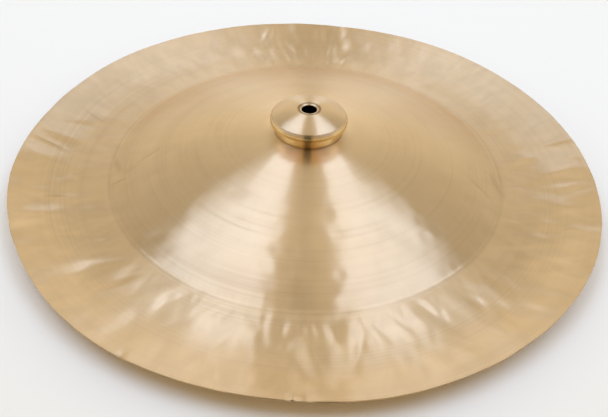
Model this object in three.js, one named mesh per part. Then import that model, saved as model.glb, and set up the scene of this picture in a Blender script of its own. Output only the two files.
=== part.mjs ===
// China cymbal: one disc of cast, hammered and lathed bell bronze, with no other piece in it.
// It lies bell up on its bend, and the flange outside the bend turns up, which gives a china its name.
// Millimetres, +Z up, origin on the axis in the plane that the bend rests on, the player's side at -Y.

import * as THREE from 'three';
import { mergeVertices, toCreasedNormals } from 'three/addons/utils/BufferGeometryUtils.js';

// Disc, bow and bend
const cymbalDiameter = 482.6;
const bendDiameter = 337;
const bendFlatWidth = 4.4;
const bendRounding = 8;
const bowHeight = 30.8;

// Upturned flange: nearly level as far as a soft break, then steeper up to the rim
const flangeBreakDiameter = 412;
const flangeBreakRise = 2.4;
const flangeBreakRounding = 60;
const rimRise = 15;

// Bell: a handle-shaped knob, wider at its shoulder than at its neck, with a low cone for a crown
const bellDiameter = 66;
const bellHeight = 22.2;
const bellShoulderRounding = 5;
const neckDiameter = 56.4;
const neckRounding = 2.2;
const crownSlopeDegrees = 16.5;

// Seat for the felt washers, and the hole for the stand's rod with its hand-cut countersink
const seatDiameter = 26;
const seatRounding = 6;
const holeDiameter = 12.7;
const countersinkWidth = 2.8;
const countersinkDepth = 0.8;

// Sheet thickness, hammered thinner from the bell to the rim
const bellThickness = 1.2;
const bendThickness = 0.9;
const rimThickness = 0.65;

// Waves that the hammer leaves in the flange: how far the rim rises and spreads with each count of lobes
const rimWaves = [
  { lobes: 5, height: 0.7, spread: 0 },
  { lobes: 6, height: 0.35, spread: 0 },
  { lobes: 8, height: 0, spread: 0.4 },
];

// Fineness of the faceting
const turnSteps = 96;
const bowSteps = 7;
const flangeSteps = 2;
const countersinkSteps = 2;
const seatSteps = 1;
const shoulderSteps = 5;
const neckSteps = 3;
const bendSteps = 2;
const breakSteps = 3;
const creaseDegrees = 32;

const toRadians = THREE.MathUtils.degToRad;
const rimRadius = cymbalDiameter / 2;
const bendRadius = bendDiameter / 2;
const neckRadius = neckDiameter / 2;
const holeRadius = holeDiameter / 2;
const seatRadius = seatDiameter / 2;

// Outline points are Vector2: x is the distance from the axis, y the height of the upper skin over the bend.
const at = (radius, height) => new THREE.Vector2(radius, height);

// Points of an arc about a centre, both ends included.
function arc(centre, radius, startAngle, endAngle, steps) {
  return Array.from({ length: steps + 1 }, (_, i) => {
    const angle = THREE.MathUtils.lerp(startAngle, endAngle, i / steps);
    return at(centre.x + radius * Math.cos(angle), centre.y + radius * Math.sin(angle));
  });
}

// Points that run evenly from one place towards another, without the last one.
function run(from, to, steps) {
  return Array.from({ length: steps }, (_, i) => from.clone().lerp(to, i / steps));
}

// A corner of the outline, rounded to a radius that touches the straight lines on both sides of it.
// The rounding never takes more than half of either line.
function roundedCorner(before, corner, after, radius, steps) {
  const back = before.clone().sub(corner);
  const ahead = after.clone().sub(corner);
  const halfAngle = Math.abs(back.angleTo(ahead)) / 2;
  const reach = Math.min(radius / Math.tan(halfAngle), back.length() / 2, ahead.length() / 2);
  const start = corner.clone().addScaledVector(back.normalize(), reach);
  const end = corner.clone().addScaledVector(ahead.normalize(), reach);
  const centreReach = reach / Math.cos(halfAngle);
  const centre = corner.clone().addScaledVector(back.clone().add(ahead).normalize(), centreReach);
  const startAngle = start.clone().sub(centre).angle();
  const turn = end.clone().sub(centre).angle() - startAngle;
  const shortTurn = Math.atan2(Math.sin(turn), Math.cos(turn));
  return arc(centre, centreReach * Math.sin(halfAngle), startAngle, startAngle + shortTurn, steps);
}

// The bow is part of a sphere centred on the axis, from the bell's neck down to the foot of the bow.
const bowFoot = at(bendRadius - bendFlatWidth / 2, 0);
const neckCorner = at(neckRadius, bowHeight);
const sphereDepth = (bowFoot.x ** 2 - neckRadius ** 2 - bowHeight ** 2) / (2 * bowHeight);
const sphereRadius = Math.hypot(bowFoot.x, sphereDepth);
const sphereCentre = at(0, -sphereDepth);
const bowArc = arc(
  sphereCentre,
  sphereRadius,
  neckCorner.clone().sub(sphereCentre).angle(),
  bowFoot.clone().sub(sphereCentre).angle(),
  bowSteps
);

// The bell's shoulder is an arc. The crown's cone touches it from above and the wall from below.
function bellOutline() {
  const crownSlope = toRadians(crownSlopeDegrees);
  const top = bowHeight + bellHeight;
  const seatEdge = at(seatRadius, top);
  const shoulderX = bellDiameter / 2 - bellShoulderRounding;
  const crownFall = bellShoulderRounding + (shoulderX - seatRadius) * Math.sin(crownSlope);
  const shoulder = at(shoulderX, top - crownFall / Math.cos(crownSlope));
  const toNeck = neckCorner.clone().sub(shoulder);
  const wallAngle = Math.atan2(toNeck.y, toNeck.x) + Math.acos(bellShoulderRounding / toNeck.length());
  const crownAngle = Math.PI / 2 - crownSlope;
  const shoulderArc = arc(shoulder, bellShoulderRounding, crownAngle, wallAngle, shoulderSteps);
  const seatStart = at(holeRadius + countersinkWidth, top);
  return [
    ...roundedCorner(seatStart, seatEdge, shoulderArc[0], seatRounding, seatSteps),
    ...shoulderArc,
    ...roundedCorner(shoulderArc.at(-1), neckCorner, bowArc[1], neckRounding, neckSteps),
  ];
}

// The flange leaves the bend nearly level, breaks, and climbs to the rim.
function flangeOutline() {
  const foot = at(bendRadius + bendFlatWidth / 2, 0);
  const crease = at(flangeBreakDiameter / 2, flangeBreakRise);
  const outerSlope = Math.atan2(rimRise - flangeBreakRise, rimRadius - crease.x);
  const rimTop = at(rimRadius - rimThickness * Math.sin(outerSlope), rimRise);
  const bend = [
    ...roundedCorner(bowArc.at(-2), bowFoot, foot, bendRounding, bendSteps),
    ...roundedCorner(bowFoot, foot, crease, bendRounding, 1),
  ];
  const softBreak = roundedCorner(foot, crease, rimTop, flangeBreakRounding, breakSteps);
  return [
    ...bend,
    ...run(bend.at(-1), softBreak[0], flangeSteps).slice(1),
    ...softBreak,
    ...run(softBreak.at(-1), rimTop, flangeSteps).slice(1),
    rimTop,
  ];
}

// Thickness at a distance from the axis: even in the bell and across the bend, tapering in between.
function thicknessAt(radius) {
  const bowShare = (radius - neckRadius) / (bowFoot.x - neckRadius);
  const flangeStart = bendRadius + bendFlatWidth / 2;
  const flangeShare = (radius - flangeStart) / (rimRadius - flangeStart);
  const bow = THREE.MathUtils.lerp(bellThickness, bendThickness, THREE.MathUtils.clamp(bowShare, 0, 1));
  const thinning = (bendThickness - rimThickness) * THREE.MathUtils.clamp(flangeShare, 0, 1);
  return bow - thinning;
}

// The lower skin lies one thickness under the upper one, square to it at every point. The seat that it
// starts from is level.
function lowerSkin(upper) {
  return upper.map((point, i) => {
    const arriving = i > 0 ? point.clone().sub(upper[i - 1]).normalize() : at(1, 0);
    const leaving = i < upper.length - 1 ? upper[i + 1].clone().sub(point).normalize() : arriving;
    const along = arriving.clone().add(leaving).normalize();
    const depth = thicknessAt(point.x) / along.dot(leaving);
    return at(point.x + along.y * depth, point.y - along.x * depth);
  });
}

// The hole's edge: a countersink rounded by hand on top, a plain wall down to the lower skin.
function holeEdge(top) {
  return Array.from({ length: countersinkSteps + 1 }, (_, i) => {
    const angle = (Math.PI / 2) * (1 - i / countersinkSteps);
    return at(
      holeRadius + countersinkWidth * (1 - Math.sin(angle)),
      top - countersinkDepth * (1 - Math.cos(angle))
    );
  });
}

// The closed outline, lower skin outwards and upper skin back, lifted so that the bend rests on Z = 0.
function cymbalOutline() {
  const top = bowHeight + bellHeight;
  const upper = [...bellOutline(), ...bowArc.slice(1, -1), ...flangeOutline()];
  const holeFoot = at(holeRadius, top - bellThickness);
  const outline = [holeFoot, ...lowerSkin(upper), ...upper.reverse(), ...holeEdge(top)];
  outline.push(holeFoot.clone());
  outline.forEach((point) => {
    point.y += bendThickness;
  });
  return outline;
}

// The waves grow with the square of the way across the flange, and leave the bend and the bow round.
function hammerWaves(geometry) {
  const position = geometry.attributes.position;
  const flangeStart = bendRadius + bendFlatWidth / 2;
  for (let i = 0; i < position.count; i += 1) {
    const x = position.getX(i);
    const y = position.getY(i);
    const radius = Math.hypot(x, y);
    const flangeShare = Math.max(0, (radius - flangeStart) / (rimRadius - flangeStart));
    const angle = Math.atan2(x, -y);
    let lift = 0;
    let spread = 0;
    for (const wave of rimWaves) {
      lift += wave.height * Math.cos(wave.lobes * angle);
      spread += wave.spread * Math.sin(wave.lobes * angle);
    }
    const stretch = 1 + (spread * flangeShare ** 2) / radius;
    position.setXYZ(i, x * stretch, y * stretch, position.getZ(i) + lift * flangeShare ** 2);
  }
}

const bronze = new THREE.MeshStandardMaterial({ color: '#cfae78', metalness: 1, roughness: 0.32 });

// The whole cymbal is one turned sheet.
function cymbalMesh() {
  const turned = new THREE.LatheGeometry(cymbalOutline(), turnSteps);
  turned.rotateX(Math.PI / 2);
  turned.deleteAttribute('normal');
  turned.deleteAttribute('uv');
  const sheet = mergeVertices(turned);
  hammerWaves(sheet);
  const mesh = new THREE.Mesh(toCreasedNormals(sheet, toRadians(creaseDegrees)), bronze);
  mesh.name = 'cymbal';
  return mesh;
}

const chinaCymbal = new THREE.Group();
chinaCymbal.add(cymbalMesh());

export default chinaCymbal;
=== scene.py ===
# China cymbal, nineteen inches: one hammered and lathed sheet of bell bronze, lying bell up on its bend.
# Metres in the CAD frame: +Z up the axis and out of the bell, -Y towards the camera, the floor at Z = 0.

import math

import bpy
import numpy as np
from mathutils import Matrix, Vector


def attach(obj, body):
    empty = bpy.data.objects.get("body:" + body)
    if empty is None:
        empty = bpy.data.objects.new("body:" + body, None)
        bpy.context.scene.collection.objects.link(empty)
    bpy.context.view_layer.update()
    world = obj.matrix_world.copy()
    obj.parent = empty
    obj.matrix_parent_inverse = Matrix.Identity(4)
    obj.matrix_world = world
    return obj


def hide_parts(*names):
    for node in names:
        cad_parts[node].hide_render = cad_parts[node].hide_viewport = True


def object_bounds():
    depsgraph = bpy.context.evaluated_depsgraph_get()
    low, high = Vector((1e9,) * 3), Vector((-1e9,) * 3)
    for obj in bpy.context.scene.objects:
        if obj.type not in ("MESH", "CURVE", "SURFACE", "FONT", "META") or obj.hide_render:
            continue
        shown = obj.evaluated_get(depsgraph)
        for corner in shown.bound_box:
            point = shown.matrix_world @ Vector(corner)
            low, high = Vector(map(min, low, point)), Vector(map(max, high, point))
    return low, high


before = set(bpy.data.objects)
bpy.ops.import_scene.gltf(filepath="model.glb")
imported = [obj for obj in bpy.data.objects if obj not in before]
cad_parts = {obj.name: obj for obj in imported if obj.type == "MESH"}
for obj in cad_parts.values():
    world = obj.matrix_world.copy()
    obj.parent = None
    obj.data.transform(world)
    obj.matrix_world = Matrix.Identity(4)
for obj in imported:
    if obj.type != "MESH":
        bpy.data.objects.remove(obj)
cad_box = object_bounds()


# The sheet's section. The disc is cast, rolled and pressed to this shape before any hammering: a bell
# like a door handle, a bow that is part of a sphere, a sharp bend, and a flange that turns up to the rim.
# Millimetres, as distance from the axis and height of the upper skin over the bend.
RIM_RADIUS = 241.3
RIM_RISE = 15.0
RIM_EDGE_SWELL = 0.22
BREAK = np.array([206.0, 2.4])
BREAK_ROUNDING = 110.0
BEND_RADIUS = 168.5
BEND_FLAT = 4.4
BEND_ROUNDING = 8.0
BOW_HEIGHT = 30.8
NECK_RADIUS = 28.2
NECK_ROUNDING = 0.5
FLARE_RADIUS = 42.0
FLARE_HEIGHT = 1.6
SHOULDER = np.array([33.3, 43.9])
SHOULDER_ROUNDING = 5.0
CROWN_EDGE = np.array([30.5, 47.8])
CROWN_EDGE_ROUNDING = 0.6
CROWN_HEIGHT = 53.0
SEAT_RADIUS = 11.0
SEAT_SLOPE = math.radians(3.0)
HOLE_RADIUS = 6.35
COUNTERSINK_WIDTH = 2.8
COUNTERSINK_DEPTH = 0.8
BELL_THICKNESS = 1.2
BEND_THICKNESS = 0.9
RIM_THICKNESS = 0.65

# The gaps between the section's points, from the sharp crown edge to the wide and plain bow.
EDGE_SPACING = 0.2
ROUND_SPACING = 0.3
BEND_SPACING = 0.7
BELL_SPACING = 1.0
FLANGE_SPACING = 1.7
BOW_SPACING = 1.75
JOIN_CLEARANCE = 0.5
SINK_POINTS = 5


def unit(vector):
    return vector / np.hypot(*vector)


def arc(centre, radius, start, end, spacing):
    steps = max(2, math.ceil(abs(end - start) * radius / spacing))
    turns = np.linspace(start, end, steps + 1)
    return np.asarray(centre) + radius * np.stack([np.cos(turns), np.sin(turns)], axis=1)


def straight(start, end, spacing):
    steps = max(1, math.ceil(np.hypot(*(end - start)) / spacing))
    return start + np.linspace(0, 1, steps + 1)[:, None] * (end - start)


def rounded(before, corner, after, radius, spacing):
    back, ahead = unit(before - corner), unit(after - corner)
    half = math.acos(back @ ahead) / 2
    centre = corner + unit(back + ahead) * radius / math.sin(half)
    start = corner + back * radius / math.tan(half) - centre
    end = corner + ahead * radius / math.tan(half) - centre
    first = math.atan2(start[1], start[0])
    turn = math.atan2(start[0] * end[1] - start[1] * end[0], start @ end)
    return arc(centre, radius, first, first + turn, spacing)


# The bow is part of a sphere, and flares up a little where the bell's wall rises from it.
bow_foot = np.array([BEND_RADIUS - BEND_FLAT / 2, 0.0])
flange_foot = np.array([BEND_RADIUS + BEND_FLAT / 2, 0.0])
sphere_depth = (bow_foot[0] ** 2 - NECK_RADIUS**2 - BOW_HEIGHT**2) / (2 * BOW_HEIGHT)
sphere_radius = math.hypot(bow_foot[0], sphere_depth)
bow = arc(
    (0, -sphere_depth),
    sphere_radius,
    math.asin((BOW_HEIGHT + sphere_depth) / sphere_radius),
    math.asin(sphere_depth / sphere_radius),
    BOW_SPACING,
)
flare = (FLARE_RADIUS - bow[:, 0]) / (FLARE_RADIUS - NECK_RADIUS)
bow[:, 1] += FLARE_HEIGHT * np.clip(flare, 0, 1) ** 2
neck = bow[0]

# The crown is an arc that leaves the felt washer's seat at a low slope and meets the bevelled edge.
seat_start = np.array([HOLE_RADIUS + COUNTERSINK_WIDTH, CROWN_HEIGHT])
seat_edge = np.array([SEAT_RADIUS, CROWN_HEIGHT])
crown_chord = CROWN_EDGE - seat_edge
crown_start = math.pi / 2 - SEAT_SLOPE
crown_turn = 2 * (-math.atan2(crown_chord[1], crown_chord[0]) - SEAT_SLOPE)
crown_radius = np.hypot(*crown_chord) / (2 * math.sin(crown_turn / 2))
crown_centre = seat_edge - crown_radius * np.array([math.cos(crown_start), math.sin(crown_start)])
crown = arc(crown_centre, crown_radius, crown_start, crown_start - crown_turn, BELL_SPACING)

crown_edge = rounded(crown[-2], CROWN_EDGE, SHOULDER, CROWN_EDGE_ROUNDING, EDGE_SPACING)
shoulder = rounded(CROWN_EDGE, SHOULDER, neck, SHOULDER_ROUNDING, ROUND_SPACING)
neck_round = rounded(SHOULDER, neck, bow[1], NECK_ROUNDING, ROUND_SPACING)
bend_in = rounded(bow[-2], bow_foot, flange_foot, BEND_ROUNDING, BEND_SPACING)
bend_out = rounded(bow_foot, flange_foot, BREAK, BEND_ROUNDING, BEND_SPACING)
climb = math.atan2(RIM_RISE - BREAK[1], RIM_RADIUS - BREAK[0])
rim_top = np.array([RIM_RADIUS - RIM_THICKNESS * math.sin(climb), RIM_RISE])
soft_break = rounded(flange_foot, BREAK, rim_top, BREAK_ROUNDING, FLANGE_SPACING)
past_neck = bow[:, 0] > neck_round[-1][0] + JOIN_CLEARANCE
before_bend = bow[:, 0] < bend_in[0][0] - JOIN_CLEARANCE
upper = np.concatenate(
    [
        straight(seat_start, seat_edge, BELL_SPACING)[1:-1],
        crown[:-1],
        crown_edge,
        straight(crown_edge[-1], shoulder[0], BELL_SPACING)[1:-1],
        shoulder,
        straight(shoulder[-1], neck_round[0], BELL_SPACING)[1:-1],
        neck_round,
        bow[past_neck & before_bend],
        bend_in,
        bend_out,
        straight(bend_out[-1], soft_break[0], FLANGE_SPACING)[1:-1],
        soft_break,
        straight(soft_break[-1], rim_top, FLANGE_SPACING)[1:],
    ]
)

# The lower skin lies one thickness under the upper one, square to it. Past the bell it faces only the
# table, so every third point is enough.
BELL_REACH = 36.0
LOWER_SKIN_STEP = 3
leaving = np.diff(upper, axis=0, append=upper[-1:])
leaving[-1] = leaving[-2]
arriving = np.vstack([[[1.0, 0.0]], leaving[:-1]])
along = leaving / np.hypot(*leaving.T)[:, None] + arriving / np.hypot(*arriving.T)[:, None]
along /= np.hypot(*along.T)[:, None]
thickness = np.interp(
    upper[:, 0],
    [NECK_RADIUS, bow_foot[0], flange_foot[0], RIM_RADIUS],
    [BELL_THICKNESS, BEND_THICKNESS, BEND_THICKNESS, RIM_THICKNESS],
)
lower = upper + np.stack([along[:, 1], -along[:, 0]], axis=1) * thickness[:, None]
keep = (upper[:, 0] < BELL_REACH) | (np.arange(len(upper)) % LOWER_SKIN_STEP == 0)
keep[-1] = True
lower = lower[keep]

# The hole was drilled and its top edge rounded off by hand. The rim was ground round.
sink = np.linspace(0, math.pi / 2, SINK_POINTS)[:, None]
hole_top = seat_start - np.hstack([COUNTERSINK_WIDTH * np.sin(sink), COUNTERSINK_DEPTH * (1 - np.cos(sink))])
hole_foot = np.array([[HOLE_RADIUS, CROWN_HEIGHT - BELL_THICKNESS]])
rim_edge = [(upper[-1] + lower[-1]) / 2 + RIM_EDGE_SWELL * unit(along[-1])]
outline = np.concatenate([lower, rim_edge, upper[::-1], hole_top, hole_foot])
outline[:, 1] += BEND_THICKNESS

# How many steps each ring of points takes round the axis: more as the rings get wider, and half as many
# on the lower skin.
FLANGE_START = 172.0
BELL_STEPS = 192
BOW_STEPS = 384
FLANGE_STEPS = 768
HOLE_STEPS = 96
is_upper = np.arange(len(outline)) >= len(lower)
on_bell = outline[:, 0] < BELL_REACH
on_bow = outline[:, 0] < FLANGE_START
steps_round = np.select([on_bell, on_bow], [BELL_STEPS, BOW_STEPS], FLANGE_STEPS)
steps_round = np.where(is_upper, steps_round, steps_round // 2)
steps_round[-1] = HOLE_STEPS


# The hammering, done by hand with the disc turned on an anvil. Strokes along the radius draw the flange up,
# round blows tune the bow, and both leave the rim a little wavy. The marks overlap into soft ripples.
# Each row is a ring of marks: its radius, the gap between marks, their length, width and depth.
STROKES = [
    (176, 6, 3.5, 1.6, 0.02),
    (168, 6, 6, 2.2, 0.06),
    (175, 7, 9, 2.5, 0.08),
    (182, 7, 11, 2.8, 0.09),
    (191, 8, 12, 3.4, 0.13),
    (202, 10, 12, 4.4, 0.16),
    (216, 10, 13, 4.8, 0.16),
    (230, 10, 11, 4.6, 0.16),
    (190, 18, 15, 8.0, 0.3),
    (210, 20, 19, 10.0, 0.4),
    (230, 20, 16, 9.0, 0.38),
]
# The blows' rings lie 9 mm apart. They were struck harder further out, from nothing beside the bell.
BLOW_GAP = 11
BLOW_LENGTH = 7.0
BLOW_WIDTH = 5.5
BLOW_START = 40
BLOW_DEPTH_SHARE = 0.0013
BLOWS = [
    (ring_radius, BLOW_GAP, BLOW_LENGTH, BLOW_WIDTH, BLOW_DEPTH_SHARE * (ring_radius - BLOW_START))
    for ring_radius in range(62, 165, 9)
]

# No two marks are alike. A few even stand up between their neighbours, so a depth can turn negative.
STROKE_SKEW = 0.6
BLOW_SKEW = 1.5
RADIUS_SCATTER = 8
GAP_SCATTER_SHARES = (-0.6, 0.6)
LENGTH_SHARES = (0.6, 1.5)
WIDTH_SHARES = (0.7, 1.5)
DEPTH_SHARES = (-0.6, 1.4)
dice = np.random.default_rng(19)
marks = []
for row, (ring_radius, gap, long, wide, deep) in enumerate(STROKES + BLOWS):
    count = round(2 * math.pi * ring_radius / gap)
    most_skew = STROKE_SKEW if row < len(STROKES) else BLOW_SKEW
    for i in range(count):
        marks.append(
            (
                2 * math.pi * (i + dice.uniform(*GAP_SCATTER_SHARES)) / count,
                ring_radius + dice.uniform(-RADIUS_SCATTER, RADIUS_SCATTER),
                long * dice.uniform(*LENGTH_SHARES),
                wide * dice.uniform(*WIDTH_SHARES),
                dice.uniform(-most_skew, most_skew),
                deep * dice.uniform(*DEPTH_SHARES),
            )
        )

# Where the hammer slipped it left longer folds. Each: heading in degrees from the front, radius, length,
# width, skew and depth.
FOLDS = [
    (-81, 140, 17, 2.4, 0.5, 0.12),
    (-78, 147, 12, 2.2, 0.4, -0.08),
    (-74, 160, 8, 2.4, 0.1, 0.12),
    (-83, 164, 13, 6.0, -1.2, 0.12),
    (-89, 224, 13, 2.2, -0.3, 0.08),
    (-71, 210, 8, 4.0, 0.0, 0.06),
    (-103, 206, 14, 2.4, -0.3, 0.07),
    (81, 165, 15, 6.0, -1.2, 0.12),
    (76, 150, 13, 2.6, -0.6, 0.1),
]
# Use has knocked the rim's edge at the front and at the front left, and scratched it beside the second
# knock. These are given as the folds are, but the metal in them is fresh and bright.
KNOCKS = [
    (-0.3, 242, 4.5, 2.0, 0.3, 0.9),
    (1.2, 242, 4.5, 1.8, -0.3, -0.7),
    (-25.8, 242, 6.0, 2.2, 0.3, 1.0),
    (-21.5, 236, 13, 1.7, 1.5, -0.14),
]
for fold_heading, *fold in FOLDS + KNOCKS:
    marks.append((math.radians(fold_heading) % (2 * math.pi), *fold))

# Every point of the sheet, as its turn from the front, its distance from the axis and its height.
rings = []
for (ring_radius, ring_height), steps in zip(outline, steps_round):
    turns = np.arange(steps) * 2 * math.pi / steps
    rings.append(np.stack([turns, np.full(steps, ring_radius), np.full(steps, ring_height)], axis=1))
turn, radius, height = np.concatenate(rings).T
section_tangent = np.gradient(outline, axis=0)
section_normal = np.stack([section_tangent[:, 1], -section_tangent[:, 0]], axis=1)
section_normal /= np.hypot(*section_normal.T)[:, None]
upward = np.where(section_normal[:, 1:] < 0, -1.0, 1.0) * section_normal
normal = np.repeat(upward, steps_round, axis=0)

# Each mark is a smooth oval dent. It moves both skins alike, so the sheet keeps its thickness.
MARK_REACH_SHARE = 3
dent = np.zeros(len(turn))
for mark_turn, mark_radius, half_long, half_wide, skew, depth in marks:
    near = np.abs(radius - mark_radius) < MARK_REACH_SHARE * half_long
    out = radius[near] - mark_radius
    side = radius[near] * ((turn[near] - mark_turn + math.pi) % (2 * math.pi) - math.pi)
    u = (out * math.cos(skew) + side * math.sin(skew)) / half_long
    v = (side * math.cos(skew) - out * math.sin(skew)) / half_wide
    dent[near] -= depth * np.exp(-(u**2) - v**2)

# The press that raised the bell left one faint crease round it, a little off the axis.
CREASE_CENTRE = (6.0, 9.0)
CREASE_RADIUS = 58.0
CREASE_WIDTH = 4.5
CREASE_DEPTH = 0.05
off_centre = np.hypot(radius * np.sin(turn) - CREASE_CENTRE[0], -radius * np.cos(turn) - CREASE_CENTRE[1])
dent -= CREASE_DEPTH * np.exp(-(((off_centre - CREASE_RADIUS) / CREASE_WIDTH) ** 2))

# No hammer reaches the bell. At the bend the anvil's edge holds the sheet: its underside stays true, and
# only shallow marks show on top.
BELL_FADE = 8.0
BEND_HOLD = 1.8
BEND_FADE = 6.0
BEND_TOP_SHARE = 0.55
least = np.where(np.repeat(is_upper, steps_round), BEND_TOP_SHARE, 0)
dent *= np.clip((np.abs(radius - BEND_RADIUS) - BEND_HOLD) / BEND_FADE, least, 1)
dent *= np.clip((radius - BELL_REACH) / BELL_FADE, 0, 1)

# The rim's waves, as a count of lobes round the disc, how far they rise and how far they spread.
RIM_WAVES = [(5, 0.7, 0.0), (6, 0.35, 0.0), (8, 0.0, 0.4)]
flange_share = np.clip((radius - flange_foot[0]) / (RIM_RADIUS - flange_foot[0]), 0, None)
lift = sum(rise * np.cos(lobes * turn) for lobes, rise, _ in RIM_WAVES)
spread = sum(wave_spread * np.sin(lobes * turn) for lobes, _, wave_spread in RIM_WAVES)
radius = radius + spread * flange_share**2 + dent * normal[:, 0]
height = height + lift * flange_share**2 + dent * normal[:, 1]
corners = np.stack([radius * np.sin(turn), -radius * np.cos(turn), height], axis=1) / 1000
corners = np.clip(corners, *np.array(cad_box))

# Rings of different counts are stitched together by faces that share the coarser ring's points.
INSIDE_BELL_HEIGHT = 31.3
SHARP_ANGLE = math.radians(40)
first = np.concatenate([[0], np.cumsum(steps_round)])
faces = []
inside_bell = []
for i in range(len(outline)):
    j = (i + 1) % len(outline)
    here, there = steps_round[i], steps_round[j]
    finer = max(here, there)
    in_hole = i >= len(outline) - 2
    under_bell = not is_upper[i] and outline[i, 1] > INSIDE_BELL_HEIGHT
    for k in range(finer):
        a, b = k * here // finer, k * there // finer
        a_next = ((k + 1) * here // finer) % here
        b_next = ((k + 1) * there // finer) % there
        face = [first[i] + a, first[i] + a_next, first[j] + b_next, first[j] + b]
        faces.append([int(corner) for n, corner in enumerate(face) if corner != face[n - 1]])
        inside_bell.append(in_hole or under_bell)
sheet = bpy.data.meshes.new("turned_sheet")
sheet.from_pydata(corners.tolist(), [], faces)
sheet.shade_smooth()
sheet.set_sharp_from_angle(angle=SHARP_ANGLE)
cymbal = bpy.data.objects.new("turned_sheet", sheet)
bpy.context.scene.collection.objects.link(cymbal)
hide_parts("cymbal")
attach(cymbal, "root")


# Bell bronze, four parts of copper to one of tin, cut with a scraper while the disc spins and left bare.
# The fine turned grooves smear every reflection out along the radius, so the light falls in wedges: pale
# straw where the softboxes show, tan elsewhere, with duller streaks where the hammer packed the flange.
def linear(code):
    channels = [int(code[i : i + 2], 16) / 255 for i in (1, 3, 5)]
    return [c / 12.92 if c <= 0.04045 else ((c + 0.055) / 1.055) ** 2.4 for c in channels] + [1.0]


def node(tree, kind, sockets=None, **settings):
    made = tree.nodes.new(kind)
    for name, value in settings.items():
        setattr(made, name, value)
    for name, value in (sockets or {}).items():
        if isinstance(value, bpy.types.NodeSocket):
            tree.links.new(value, made.inputs[name])
        else:
            made.inputs[name].default_value = value
    return made


BRONZE = "#e3c497"
BRONZE_WARM = "#dbb986"
BRONZE_DULL = "#cfb184"
# A paler, yellower bronze painted on the bell's wall as a reflection of the bow's highlights.
PAINTED_WALL_REFLECTION = "#f9da96"
# Brown for the tarnish in the grooves, and for painted shade in the creases, round the hole and along the
# folds.
TARNISH_AND_SHADE = "#6b4a2c"

# The patterns run round the disc, so each has one size round it, at this radius, and one outwards. Only the
# clouds are as long as they are wide. The scraper's grooves are really a third of a millimetre apart, and
# drawn coarser so that they show.
PATTERN_RADIUS = 210.0
GROOVE_SIZE = (420.0, 1.2)
CHATTER_SIZE = (175.0, 16.7)
STREAK_SIZE = (14.0, 25.0)
CLOUD_SIZE = 45.5

bronze = bpy.data.materials.new("turned_bell_bronze")
bronze.use_nodes = True
tree = bronze.node_tree
tree.nodes.clear()
place = node(tree, "ShaderNodeTexCoord").outputs["Object"]
tall = node(tree, "ShaderNodeSeparateXYZ", {"Vector": place}).outputs["Z"]
tall_mm = node(tree, "ShaderNodeMath", {0: tall, 1: 1000.0}, operation="MULTIPLY").outputs[0]
flat = node(tree, "ShaderNodeVectorMath", {0: place, 1: (1, 1, 0)}, operation="MULTIPLY").outputs[0]
reach = node(tree, "ShaderNodeVectorMath", {0: flat}, operation="LENGTH").outputs["Value"]
reach_mm = node(tree, "ShaderNodeMath", {0: reach, 1: 1000.0}, operation="MULTIPLY").outputs[0]
heading = node(tree, "ShaderNodeVectorMath", {0: flat}, operation="NORMALIZE").outputs[0]
reach_up = node(tree, "ShaderNodeCombineXYZ", {"Z": reach_mm}).outputs[0]
polar = node(tree, "ShaderNodeVectorMath", {0: heading, 1: reach_up}, operation="ADD").outputs[0]

noises = []
for (around, outwards), settings in [
    (GROOVE_SIZE, {"Detail": 1.0}),
    (CHATTER_SIZE, {"Detail": 1.0}),
    (STREAK_SIZE, {"Detail": 4.0, "Distortion": 0.8}),
]:
    per_cell = (PATTERN_RADIUS / around, PATTERN_RADIUS / around, 1 / outwards)
    cell = node(tree, "ShaderNodeVectorMath", {0: polar, 1: per_cell}, operation="MULTIPLY").outputs[0]
    noise = node(tree, "ShaderNodeTexNoise", {"Vector": cell, "Scale": 1.0, **settings})
    noises.append(noise.outputs["Fac"])
grooves, bands, streaks = noises
cloud = node(tree, "ShaderNodeTexNoise", {"Vector": place, "Scale": 1000 / CLOUD_SIZE, "Detail": 3.0})
cloud = cloud.outputs["Fac"]

# The alloy's own colour drifts a little over the disc, and the flange is streaked by the hammer.
tone = node(
    tree, "ShaderNodeMix", {"Factor": cloud, "A": linear(BRONZE), "B": linear(BRONZE_WARM)}, data_type="RGBA"
).outputs["Result"]
dulled = node(
    tree,
    "ShaderNodeMapRange",
    {"Value": streaks, "From Min": 0.4, "From Max": 0.66, "To Min": 0.0, "To Max": 0.55},
).outputs["Result"]
on_flange = node(
    tree,
    "ShaderNodeMapRange",
    {"Value": reach_mm, "From Min": 150.0, "From Max": 180.0, "To Min": 0.25, "To Max": 1.0},
).outputs["Result"]
dulled = node(tree, "ShaderNodeMath", {0: dulled, 1: on_flange}, operation="MULTIPLY").outputs[0]
tone = node(
    tree, "ShaderNodeMix", {"Factor": dulled, "A": tone, "B": linear(BRONZE_DULL)}, data_type="RGBA"
).outputs["Result"]

# The grooves come and go in bands, where the scraper chattered, and are faint next to the bell.
GROOVE_TINT_SHARE = 0.25
groove_mask = node(
    tree,
    "ShaderNodeMapRange",
    {"Value": grooves, "From Min": 0.35, "From Max": 0.65, "To Min": 0.0, "To Max": 1.0},
).outputs["Result"]
chatter = node(
    tree,
    "ShaderNodeMapRange",
    {"Value": bands, "From Min": 0.42, "From Max": 0.62, "To Min": 0.15, "To Max": 1.0},
).outputs["Result"]
clear_of_bell = node(
    tree,
    "ShaderNodeMapRange",
    {"Value": reach_mm, "From Min": 40.0, "From Max": 85.0, "To Min": 0.25, "To Max": 1.0},
).outputs["Result"]
for share in (chatter, clear_of_bell):
    groove_mask = node(tree, "ShaderNodeMath", {0: groove_mask, 1: share}, operation="MULTIPLY").outputs[0]
groove_tint = node(
    tree, "ShaderNodeMath", {0: groove_mask, 1: GROOVE_TINT_SHARE}, operation="MULTIPLY"
).outputs[0]
tone = node(
    tree, "ShaderNodeMix", {"Factor": groove_tint, "A": tone, "B": linear(BRONZE_DULL)}, data_type="RGBA"
).outputs["Result"]
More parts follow.
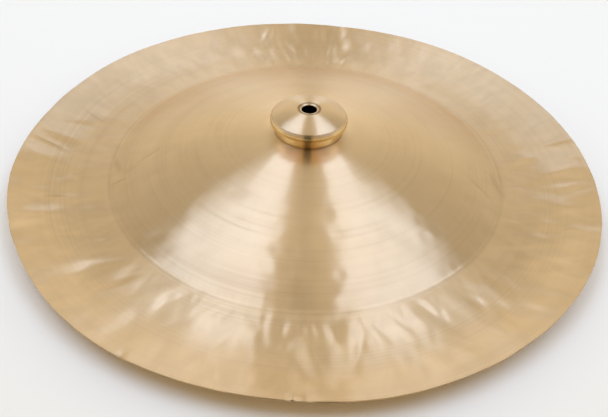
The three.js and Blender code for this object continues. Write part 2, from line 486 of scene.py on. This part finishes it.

# The bell's wall is painted paler and yellower than the rest, a painted reflection of the bow's bright
# highlights; it is also smoother, so its reflections are sharper.
over_neck = node(
    tree,
    "ShaderNodeMapRange",
    {"Value": tall_mm, "From Min": 33.4, "From Max": 34.6, "To Min": 0.0, "To Max": 1.0},
).outputs["Result"]
under_crown = node(
    tree,
    "ShaderNodeMapRange",
    {"Value": tall_mm, "From Min": 44.0, "From Max": 48.0, "To Min": 1.0, "To Max": 0.0},
).outputs["Result"]
on_wall = node(tree, "ShaderNodeMath", {0: over_neck, 1: under_crown}, operation="MULTIPLY").outputs[0]
tone = node(
    tree, "ShaderNodeMix", {"Factor": on_wall, "A": tone, "B": linear(PAINTED_WALL_REFLECTION)}, data_type="RGBA"
).outputs["Result"]

# Painted shade: a brown line darkens the neck's crease, the countersink round the hole and the bend, and
# darker lines run along the folds. Tarnish stays brown in a few deep grooves. Each corner: its distance from
# the axis and height, the shade's reach, and how strong it is.
SHADED_CORNERS = [
    ((28.5, 33.3), 0.9, 0.6),
    ((8.8, 53.7), 1.25, 1.0),
    ((168.5, 1.0), 1.3, 0.12),
]
# Each deep groove: its distance from the axis and how strong its stain is.
TARNISHED_GROOVES = [
    (62.0, 0.06),
    (70.0, 0.07),
    (75.0, 0.05),
    (124.5, 0.08),
    (140.0, 0.04),
    (146.0, 0.05),
    (151.0, 0.04),
    (155.0, 0.06),
    (203.0, 0.06),
    (206.0, 0.07),
    (210.0, 0.04),
    (214.0, 0.06),
]
GROOVE_HALF_WIDTH = 0.5
CORNER_CORE_SHARE = 0.4
CORNER_EDGE_SHARE = 1.2
FOLD_SHADE_SHARE = 0.22
FOLD_SHADE_WIDTH_SHARE = 0.5
section_place = node(tree, "ShaderNodeCombineXYZ", {"X": reach_mm, "Y": tall_mm}).outputs[0]
stains_and_shade = []
# Painted shade in the neck's crease, in the countersink and in the bend.
for corner, thick, share in SHADED_CORNERS:
    away = node(tree, "ShaderNodeVectorMath", {0: section_place, 1: (*corner, 0)}, operation="DISTANCE")
    core, edge = thick * CORNER_CORE_SHARE, thick * CORNER_EDGE_SHARE
    edges = {"From Min": core, "From Max": edge, "To Min": share, "To Max": 0.0}
    line = node(tree, "ShaderNodeMapRange", {"Value": away.outputs["Value"], **edges})
    stains_and_shade.append(line.outputs["Result"])
for groove_radius, share in TARNISHED_GROOVES:
    in_groove = node(
        tree, "ShaderNodeMath", {0: reach_mm, 1: groove_radius, 2: GROOVE_HALF_WIDTH}, operation="COMPARE"
    ).outputs[0]
    stains_and_shade.append(node(tree, "ShaderNodeMath", {0: in_groove, 1: share}, operation="MULTIPLY").outputs[0])
# Painted shade along each fold, as in a crease.
for fold_heading, fold_radius, long, wide, skew, _ in FOLDS:
    turned_to = math.radians(fold_heading)
    in_fold = node(
        tree,
        "ShaderNodeMapping",
        {
            "Vector": place,
            "Location": Vector((math.sin(turned_to), -math.cos(turned_to), 0)) * fold_radius / 1000,
            "Rotation": (0, 0, turned_to - math.pi / 2 + skew),
            "Scale": (long / 1000, wide * FOLD_SHADE_WIDTH_SHARE / 1000, 1),
        },
        vector_type="TEXTURE",
    ).outputs[0]
    away = node(tree, "ShaderNodeVectorMath", {0: in_fold}, operation="LENGTH")
    edges = {"From Min": 0.2, "From Max": 1.3, "To Min": FOLD_SHADE_SHARE, "To Max": 0.0}
    line = node(tree, "ShaderNodeMapRange", {"Value": away.outputs["Value"], **edges})
    stains_and_shade.append(line.outputs["Result"])
stain_and_shade = stains_and_shade[0]
for other in stains_and_shade[1:]:
    stain_and_shade = node(tree, "ShaderNodeMath", {0: stain_and_shade, 1: other}, operation="MAXIMUM").outputs[0]
worn = node(
    tree,
    "ShaderNodeMapRange",
    {"Value": cloud, "From Min": 0.35, "From Max": 0.6, "To Min": 0.45, "To Max": 1.0},
).outputs["Result"]
stain_and_shade = node(tree, "ShaderNodeMath", {0: stain_and_shade, 1: worn}, operation="MULTIPLY").outputs[0]
# Mix in the tarnish and the painted shade.
tone = node(
    tree, "ShaderNodeMix", {"Factor": stain_and_shade, "A": tone, "B": linear(TARNISH_AND_SHADE)}, data_type="RGBA"
).outputs["Result"]

# The cut is finest next to the bell and on its wall, and coarser in the grooves and in the neck.
roughness = node(
    tree,
    "ShaderNodeMapRange",
    {"Value": groove_mask, "From Min": 0.0, "From Max": 1.0, "To Min": 0.21, "To Max": 0.25},
).outputs["Result"]
for value, near, far, share_near, share_far in [
    (reach_mm, 45.0, 85.0, 0.75, 1.0),
    (reach_mm, 31.0, 35.0, 1.5, 1.0),
    (on_wall, 0.0, 1.0, 1.0, 0.55),
]:
    edges = {"From Min": near, "From Max": far, "To Min": share_near, "To Max": share_far}
    share = node(tree, "ShaderNodeMapRange", {"Value": value, **edges}).outputs["Result"]
    roughness = node(tree, "ShaderNodeMath", {0: roughness, 1: share}, operation="MULTIPLY").outputs[0]

# Scraped metal shines in two ways at once: a narrow glint from the flats between the grooves, and a wider
# one from their torn edges. Both are drawn out across the grooves. The wall has only the first.
EDGE_GLINT_SHARE = 0.3
relief = node(tree, "ShaderNodeBump", {"Height": groove_mask, "Strength": 0.3, "Distance": 0.00002})
outward = node(tree, "ShaderNodeTangent", direction_type="RADIAL", axis="Z")
glints = []
for times_rougher in (1.0, 2.0):
    glint_roughness = node(
        tree, "ShaderNodeMath", {0: roughness, 1: times_rougher}, operation="MULTIPLY"
    ).outputs[0]
    metal = node(
        tree,
        "ShaderNodeBsdfPrincipled",
        {
            "Base Color": tone,
            "Metallic": 1.0,
            "Roughness": glint_roughness,
            "Anisotropic": 1.0,
            "Anisotropic Rotation": 0.25,
            "Tangent": outward.outputs["Tangent"],
            "Normal": relief.outputs["Normal"],
        },
    )
    glints.append(metal.outputs["BSDF"])
edge_share = node(
    tree,
    "ShaderNodeMapRange",
    {"Value": on_wall, "From Min": 0.0, "From Max": 1.0, "To Min": EDGE_GLINT_SHARE, "To Max": 0.0},
).outputs["Result"]
turned = node(tree, "ShaderNodeMixShader", {0: edge_share, 1: glints[0], 2: glints[1]})
node(tree, "ShaderNodeOutputMaterial", {"Surface": turned.outputs["Shader"]})
sheet.materials.append(bronze)


# Inside of the bell and the hole: painted shade, a near-black crust that darkens the hole's wall and the
# bell's underside, so the hole reads as a dark spot in the bright crown. It is dull and crusted.
HOLE_SHADE_BLACK = "#2b211c"
HOLE_SHADE_BROWN = "#4a3426"
CRUST_GRAIN = 3.85
hole_painted_shade = bpy.data.materials.new("hole_painted_shade")
hole_painted_shade.use_nodes = True
tree = hole_painted_shade.node_tree
tree.nodes.clear()
place = node(tree, "ShaderNodeTexCoord").outputs["Object"]
crust = node(tree, "ShaderNodeTexNoise", {"Vector": place, "Scale": 1000 / CRUST_GRAIN, "Detail": 4.0})
# The painted shade's colour, mottled between near-black and dark brown.
painted_shade_tone = node(
    tree,
    "ShaderNodeMix",
    {"Factor": crust.outputs["Fac"], "A": linear(HOLE_SHADE_BLACK), "B": linear(HOLE_SHADE_BROWN)},
    data_type="RGBA",
)
relief = node(tree, "ShaderNodeBump", {"Height": crust.outputs["Fac"], "Strength": 0.4, "Distance": 0.0001})
skin = node(
    tree,
    "ShaderNodeBsdfPrincipled",
    {
        "Base Color": painted_shade_tone.outputs["Result"],
        "Metallic": 0.5,
        "Roughness": 0.6,
        "Normal": relief.outputs["Normal"],
    },
)
node(tree, "ShaderNodeOutputMaterial", {"Surface": skin.outputs["BSDF"]})
sheet.materials.append(hole_painted_shade)
sheet.polygons.foreach_set("material_index", [int(inside) for inside in inside_bell])


# The floor here is a table: a round top covered with matt white card, which takes the shadow of the rim.
# The card is a warm white, because the lamps are cool.
TABLE_RADIUS = 0.95
TABLE_STEPS = 96
CARD = "#fff4d8"
card = bpy.data.materials.new("matt_white_card")
card.use_nodes = True
tree = card.node_tree
tree.nodes.clear()
paper = node(tree, "ShaderNodeBsdfDiffuse", {"Color": linear(CARD)})
node(tree, "ShaderNodeOutputMaterial", {"Surface": paper.outputs["BSDF"]})
turns = np.arange(TABLE_STEPS) * 2 * math.pi / TABLE_STEPS
table_edge = [(TABLE_RADIUS * math.cos(turn), TABLE_RADIUS * math.sin(turn), 0) for turn in turns]
table_top = bpy.data.meshes.new("table")
table_top.from_pydata(table_edge, [], [range(TABLE_STEPS)])
table_top.materials.append(card)
floor = bpy.data.objects.new("table", table_top)
bpy.context.scene.collection.objects.link(floor)


# The light: a bank of softboxes on either side overhead, rising towards the back, with a gap between the
# banks that falls as the dark wedge down the bow's front. The lamps are cool, as daylight lamps are.
# Each softbox: its centre's distance out, its distance back, its width, its length and its brightness.
SOFTBOXES = [
    (0.68, 0.4, 0.94, 1.5, 1.05),
    (0.51, 0.0, 0.6, 0.8, 1.5),
    (0.38, 2.8, 0.38, 2.8, 1.15),
]
BANK_HEIGHT = 1.2
BANK_TILT = math.radians(30)
GAP_TO_THE_RIGHT = 0.025
LAMP_COLOUR = (0.69, 1.0, 1.9)
for side in (-1, 1):
    for out, back, width, length, radiance in SOFTBOXES:
        lamp = bpy.data.lights.new("softbox", "AREA")
        lamp.shape = "RECTANGLE"
        lamp.size = width
        lamp.size_y = length / math.cos(BANK_TILT)
        lamp.energy = radiance * math.pi * lamp.size * lamp.size_y
        lamp.color = LAMP_COLOUR
        softbox = bpy.data.objects.new("softbox", lamp)
        softbox.location = (GAP_TO_THE_RIGHT + side * out, back, BANK_HEIGHT + back * math.tan(BANK_TILT))
        softbox.rotation_euler.x = BANK_TILT
        bpy.context.scene.collection.objects.link(softbox)


# The studio: pale walls to the sides and behind the table, and a dim end of the room behind the camera,
# with the dark camera stand in its middle. The bronze mirrors all of it, and the backdrop shows white.
# Levels go by how far a direction points sideways or up: 0 is not at all and 1 is straight.
WALL_TINT = (1.0, 0.985, 0.95)
GREY = (1.0, 1.0, 1.0)
DIM_END = "#ffeacc"
BACKDROP = "#f4f3f1"
WALL_SIDEWAYS = [
    (0.0, 0.94),
    (0.03, 0.97),
    (0.06, 1.06),
    (0.1, 1.0),
    (0.2, 0.97),
    (0.35, 0.88),
    (0.5, 0.82),
    (0.7, 0.64),
    (0.85, 0.75),
    (1.0, 0.85),
]
WALL_UP = [(0.2, 0.98), (0.36, 1.32), (0.45, 1.06), (0.54, 0.86), (0.6, 0.84), (0.75, 0.7), (0.9, 0.9)]
DIM_END_UP = [(0.25, 0.65), (0.45, 0.36), (0.85, 0.5)]
studio = bpy.data.worlds.new("studio")
bpy.context.scene.world = studio
studio.use_nodes = True
tree = studio.node_tree
tree.nodes.clear()
direction = node(tree, "ShaderNodeTexCoord").outputs["Generated"]
split = node(tree, "ShaderNodeSeparateXYZ", {"Vector": direction})
sideways = node(tree, "ShaderNodeMath", {0: split.outputs["X"]}, operation="ABSOLUTE").outputs[0]
levels = []
for along_direction, steps, tint in [
    (sideways, WALL_SIDEWAYS, WALL_TINT),
    (split.outputs["Z"], WALL_UP, GREY),
    (split.outputs["Z"], DIM_END_UP, GREY),
]:
    ramp = node(tree, "ShaderNodeValToRGB", {"Fac": along_direction})
    stops = ramp.color_ramp.elements
    stops[0].position = steps[0][0]
    stops[1].position = steps[-1][0]
    for position, _ in steps[1:-1]:
        stops.new(position)
    for stop, (_, level) in zip(stops, steps):
        stop.color = (*(level * channel for channel in tint), 1)
    levels.append(ramp.outputs["Color"])
wall_colour, wall_strength, dim_strength = levels
walls = node(tree, "ShaderNodeBackground", {"Color": wall_colour, "Strength": wall_strength})
off_the_stand = node(
    tree, "ShaderNodeMath", {0: sideways, 1: split.outputs["Y"]}, operation="DIVIDE"
).outputs[0]
beside_stand = node(
    tree,
    "ShaderNodeMapRange",
    {"Value": off_the_stand, "From Min": -0.3, "From Max": -0.14, "To Min": 1.0, "To Max": 0.15},
).outputs["Result"]
dim_strength = node(
    tree, "ShaderNodeMath", {0: beside_stand, 1: dim_strength}, operation="MULTIPLY"
).outputs[0]
dim_end = node(tree, "ShaderNodeBackground", {"Color": linear(DIM_END), "Strength": dim_strength})
towards_camera = node(
    tree,
    "ShaderNodeMapRange",
    {"Value": split.outputs["Y"], "From Min": -0.15, "From Max": -0.4, "To Min": 0.0, "To Max": 1.0},
).outputs["Result"]
around = node(
    tree,
    "ShaderNodeMixShader",
    {0: towards_camera, 1: walls.outputs["Background"], 2: dim_end.outputs["Background"]},
)
path = node(tree, "ShaderNodeLightPath")
backdrop = node(tree, "ShaderNodeBackground", {"Color": linear(BACKDROP), "Strength": 1.0})
seen = node(
    tree,
    "ShaderNodeMixShader",
    {0: path.outputs["Is Camera Ray"], 1: around.outputs["Shader"], 2: backdrop.outputs["Background"]},
)
node(tree, "ShaderNodeOutputWorld", {"Surface": seen.outputs["Shader"]})


# The camera stands in front and above, and looks down at the bow from about half a metre away. Its place
# and angles come from the rim, the bend and the bell's rings as they lie in the photograph.
CAMERA_PLACE = (0, -0.4093, 0.3161)
YAW = math.radians(-0.066)
PITCH = math.radians(42.386)
ROLL = math.radians(2.751)
FOCAL_PIXELS = 582.3
IMAGE_WIDTH = 608
lens = bpy.data.cameras.new("camera")
lens.sensor_width = 36
lens.lens = lens.sensor_width * FOCAL_PIXELS / IMAGE_WIDTH
lens.clip_start = 0.01
looking = Vector((math.sin(YAW) * math.cos(PITCH), math.cos(YAW) * math.cos(PITCH), -math.sin(PITCH)))
level = Vector((math.cos(YAW), -math.sin(YAW), 0))
upright = level.cross(looking)
right = level * math.cos(ROLL) + upright * math.sin(ROLL)
top = upright * math.cos(ROLL) - level * math.sin(ROLL)
stance = Matrix((right, top, -looking)).transposed().to_4x4()
camera = bpy.data.objects.new("camera", lens)
camera.matrix_world = Matrix.Translation(CAMERA_PLACE) @ stance
bpy.context.scene.collection.objects.link(camera)
bpy.context.scene.camera = camera
bpy.context.scene.view_settings.view_transform = "Standard"
